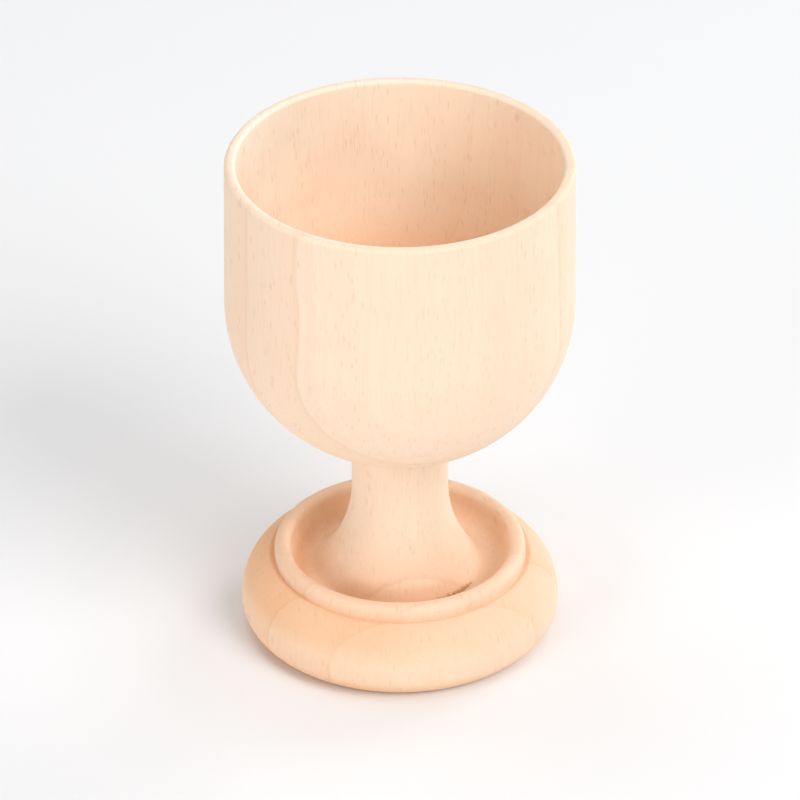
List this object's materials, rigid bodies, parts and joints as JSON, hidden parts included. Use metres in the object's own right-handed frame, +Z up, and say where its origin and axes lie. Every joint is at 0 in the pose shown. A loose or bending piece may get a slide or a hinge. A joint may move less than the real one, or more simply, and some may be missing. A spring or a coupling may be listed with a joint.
{
  "type": "egg cup",
  "caption": "Goblet-shaped turned wooden egg cup with a deep round hollow, a short stem and a dished foot with a bead ring.",
  "frame": {"origin": "middle of the ring under the foot that the cup stands on", "axes": "+Z up the turning axis and out of the mouth; +X and +Y lie in the table's plane and are otherwise free, because the cup is round"},
  "size_m": [0.0458, 0.0458, 0.07],
  "materials": {
    "beech": "pale unfinished beech, sanded, with fine streaks up the wall, end-grain rings in the hollow and on the foot, and torn specks beside the bead"
  },
  "bodies": {
    "root": {"egg_cup": "beech"}
  },
  "joints": []
}
